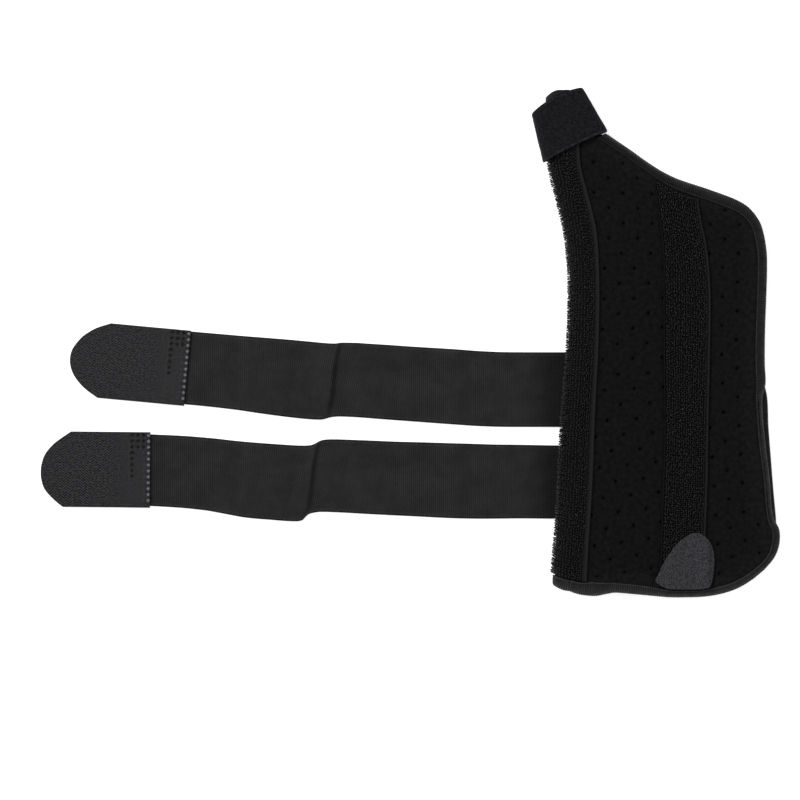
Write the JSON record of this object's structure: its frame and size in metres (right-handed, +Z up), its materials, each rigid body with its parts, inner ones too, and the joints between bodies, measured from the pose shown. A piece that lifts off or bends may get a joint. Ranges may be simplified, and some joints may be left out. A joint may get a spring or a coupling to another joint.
{
  "type": "thumb spica splint",
  "caption": "Wrist and thumb splint of perforated neoprene lying folded flat, with a banded thumb sleeve, loop tapes and elastic straps that end in rounded hook tabs.",
  "frame": {"origin": "on the surface that the splint lies on, under the middle of its box", "axes": "+X from the strap ends to the free edges of the shell, +Y from the forearm edge to the thumb, +Z up from the surface"},
  "size_m": [0.3734, 0.2576, 0.0178],
  "materials": {
    "neoprene": "matt black knit face over perforated foam rubber",
    "edge_binding": "ribbed black elastic tape with a pale inner edge",
    "loop_tape": "black loop pile with woven edges",
    "grey_loop": "dark grey loop cloth",
    "brushed_loop": "black brushed nylon loop cloth",
    "elastic": "black elastic webbing with fine ribs across it",
    "hook_tape": "charcoal woven backing with shiny weld dots"
  },
  "bodies": {
    "root": {"folded_shell": "neoprene", "front_edge_binding": "edge_binding", "back_edge_binding": "edge_binding", "radial_tape": "loop_tape", "middle_tape": "loop_tape", "pocket_tab": "grey_loop", "thumb_band": "brushed_loop", "upper_strap": "elastic", "lower_strap": "elastic", "upper_strap_tab": "hook_tape", "lower_strap_tab": "hook_tape"}
  },
  "joints": []
}
